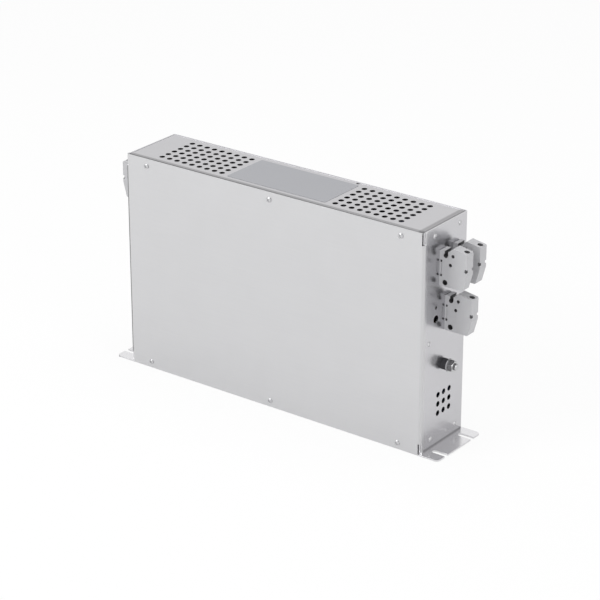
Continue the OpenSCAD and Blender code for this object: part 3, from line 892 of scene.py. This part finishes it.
@dataclass
class Studio:
    """Floor, lamps, surroundings and camera.

    Attributes:
        focal: The camera's focal length, in parts of the picture's width below.
        picture: The picture's width, in the same parts.
        sensor: Width of the sensor in millimetres.
        yaw: Turn of the view from the front towards the load end, in radians.
        pitch: Tilt of the view downwards, in radians.
        distance: From the camera to the plane that it is aimed at, in metres.
        right: Shift of the aim to the right.
        up: Shift of the aim upwards.
        centre_z: Height of the middle of the case.
        unseen_light: Strength of the surroundings for diffuse light.
        flags: Direction of each darker flag and its strength.
        flag_edge: Angles from a flag's middle where it begins and is full.
        floor_side: Side of the floor.
        floor_seen: Share of its own light that the camera sees on the floor.
        floor_mirrored: The same share for what the metal mirrors.
        lamps: The lamps.
    """

    focal: float = 2403.86
    picture: float = 600.0
    sensor: float = 36.0
    yaw: float = 0.642657
    pitch: float = 0.411356
    distance: float = 2.800867
    right: float = 0.008715
    up: float = -0.012317
    centre_z: float = 0.135
    unseen_light: float = 0.6
    flags: tuple[tuple[Triple, float], ...] = (
        ((0.40, 0.73, 0.55), 0.72),
        ((-0.55, -0.40, 0.73), 0.35),
    )
    flag_edge: tuple[float, float] = (math.radians(42.0), math.radians(22.0))
    floor_side: float = 12.0
    floor_seen: float = 0.88
    floor_mirrored: float = 0.2
    lamps: tuple[Lamp, ...] = (
        Lamp("key", (-1.4, -2.3, 1.8), 1.6, 33.0),
        Lamp("fill", (2.6, -0.8, 1.2), 1.4, 12.0),
        Lamp("top", (0.0, 0.3, 2.6), 1.8, 16.0),
    )

    @property
    def middle(self) -> Vector:
        """Middle of the case."""
        return Vector((0.0, 0.0, self.centre_z))

    def build(self) -> None:
        """Sets the whole studio."""
        self.camera()
        self.surroundings()
        self.floor()
        for lamp in self.lamps:
            lamp.hang(self.middle)

    def camera(self) -> None:
        """Places the camera on the filter's near right corner."""
        level = math.cos(self.pitch)
        forward = Vector(
            (-math.sin(self.yaw) * level, math.cos(self.yaw) * level, -math.sin(self.pitch))
        )
        right = Vector((math.cos(self.yaw), math.sin(self.yaw), 0.0))
        up = right.cross(forward)
        data = bpy.data.cameras.new("camera")
        data.sensor_width = self.sensor
        data.lens = self.focal / self.picture * self.sensor
        data.clip_start = 0.05
        camera = bpy.data.objects.new("camera", data)
        bpy.context.scene.collection.objects.link(camera)
        turn = Matrix((right, up, -forward)).transposed().to_4x4()
        place = self.middle + right * self.right + up * self.up - forward * self.distance
        camera.matrix_world = Matrix.Translation(place) @ turn
        bpy.context.scene.camera = camera

    def surroundings(self) -> None:
        """Makes the world white, with two dark flags that the bends and fixings mirror."""
        world = bpy.data.worlds.new("studio")
        bpy.context.scene.world = world
        world.use_nodes = True
        world.node_tree.nodes.clear()
        n = Nodes(world.node_tree)
        output = n.add("ShaderNodeOutputWorld")
        seen = n.add("ShaderNodeBackground")
        seen.inputs["Color"].default_value = (1.0, 1.0, 1.0, 1.0)
        place = n.add("ShaderNodeTexCoord")
        begins, full = (math.cos(angle) for angle in self.flag_edge)
        strength: bpy.types.NodeSocket | float = 1.0
        for aim, light in self.flags:
            off = n.add("ShaderNodeVectorMath", operation="DOT_PRODUCT")
            off.inputs[1].default_value = Vector(aim).normalized()
            n.link(place.outputs["Generated"], off.inputs[0])
            flag = n.ramp(off.outputs["Value"], begins, full, light)
            strength = n.math("MULTIPLY", strength, flag)
        n.link(strength, seen.inputs["Strength"])
        unseen = n.add("ShaderNodeBackground")
        unseen.inputs["Color"].default_value = (1.0, 1.0, 1.0, 1.0)
        unseen.inputs["Strength"].default_value = self.unseen_light
        ray = n.add("ShaderNodeLightPath").outputs
        direct = n.math("MAXIMUM", ray["Is Camera Ray"], ray["Is Glossy Ray"])
        direct = n.math("MAXIMUM", direct, ray["Is Transmission Ray"])
        n.link(n.mixed(direct, unseen.outputs[0], seen.outputs[0]), output.inputs[0])

    def floor(self) -> None:
        """Lays the pale floor."""
        deselect()
        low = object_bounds()[0][2]
        bpy.ops.mesh.primitive_plane_add(size=self.floor_side, location=(0.0, 0.0, low))
        floor = bpy.context.object
        floor.name = "floor"
        made = bpy.data.materials.new("white floor")
        made.use_nodes = True
        n = Nodes(made.node_tree)
        shader = made.node_tree.nodes["Principled BSDF"]
        shader.inputs["Base Color"].default_value = (0.96, 0.96, 0.96, 1.0)
        shader.inputs["Roughness"].default_value = 0.9
        output = made.node_tree.nodes["Material Output"]
        glow = n.add("ShaderNodeEmission")
        glow.inputs["Strength"].default_value = 1.0
        ray = n.add("ShaderNodeLightPath").outputs
        mirrored = n.math("MULTIPLY", ray["Is Glossy Ray"], self.floor_mirrored)
        share = n.math("MULTIPLY_ADD", ray["Is Camera Ray"], self.floor_seen, mirrored)
        n.link(n.mixed(share, shader.outputs[0], glow.outputs[0]), output.inputs[0])
        floor.data.materials.append(made)
        floor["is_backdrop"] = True


def main() -> None:
    """Builds the filter's dressed parts in order, then the studio."""
    logging.basicConfig(level=logging.INFO, format="%(message)s")
    bpy.context.scene.view_settings.view_transform = "Standard"
    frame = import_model()
    Inside(frame).dress()
    SheetCase(frame).build()
    Terminals(frame).build()
    Fixings(frame).build()
    Studio().build()


if __name__ == "__main__":
    main()
